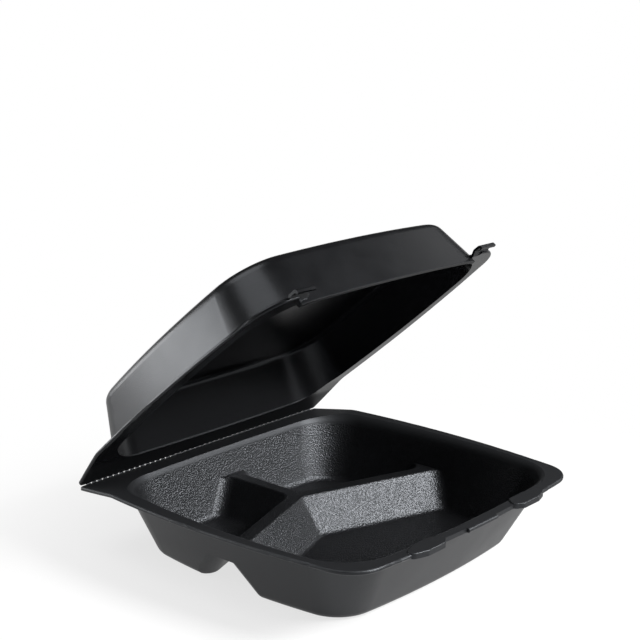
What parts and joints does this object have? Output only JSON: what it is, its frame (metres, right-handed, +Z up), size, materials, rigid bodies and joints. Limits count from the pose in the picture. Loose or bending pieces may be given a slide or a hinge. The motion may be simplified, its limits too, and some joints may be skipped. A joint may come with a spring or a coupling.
{
  "type": "foam clamshell container",
  "caption": "Moulded foam takeaway box: a tapered square tray with divided compartments, a flanged rim and a hinged lid that locks over the front rim.",
  "frame": {"origin": "middle of the tray's underside, on the surface it rests on", "axes": "+X along the hinge crease, +Y from the front rim towards the crease, +Z up"},
  "size_m": [0.241, 0.2411, 0.2063],
  "materials": {
    "black_foam": "satin"
  },
  "bodies": {
    "tray": {"base_tray": "black_foam"},
    "cover": {"lid": "black_foam"}
  },
  "joints": [
    {"name": "lid_hinge", "type": "hinge", "parent": "tray", "child": "cover", "pos_m": [0, 0.1157, 0.0417], "axis": [-1, 0, 0], "range_deg": [-39.3, 140.7]}
  ]
}
